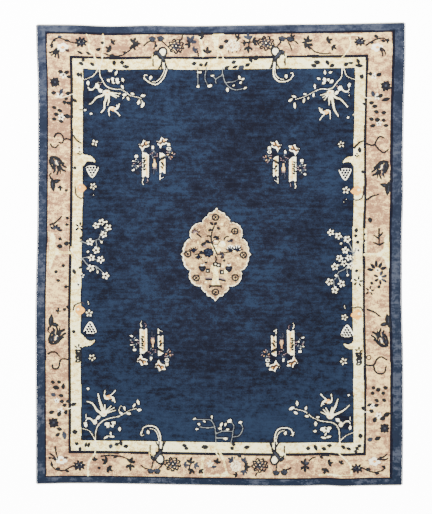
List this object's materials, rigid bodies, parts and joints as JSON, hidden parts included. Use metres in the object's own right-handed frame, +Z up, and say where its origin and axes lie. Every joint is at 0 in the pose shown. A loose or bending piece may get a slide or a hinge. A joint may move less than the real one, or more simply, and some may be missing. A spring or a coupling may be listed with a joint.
{
  "type": "peking rug",
  "caption": "Large hand-knotted wool carpet lying flat: indigo field, scalloped centre medallion, ivory guard, rose-tan border with flowers and birds, dark outer band and short cotton fringe.",
  "frame": {"origin": "on the floor under the middle of the carpet, where the centre lines of its straight plan cross", "axes": "+X across the carpet, +Y along it towards the head end, +Z up out of the pile"},
  "size_m": [2.7818, 3.5166, 0.01],
  "materials": {
    "wool_pile": "matte wool pile with a soft sheen",
    "overcast_wool": "wrapped wool yarn, matte",
    "warp_cotton": "undyed cotton yarn, matte"
  },
  "bodies": {
    "root": {"pile_carpet": "wool_pile", "side_cord_left": "overcast_wool", "side_cord_right": "overcast_wool", "end_web_head": "warp_cotton", "end_web_foot": "warp_cotton"}
  },
  "joints": []
}
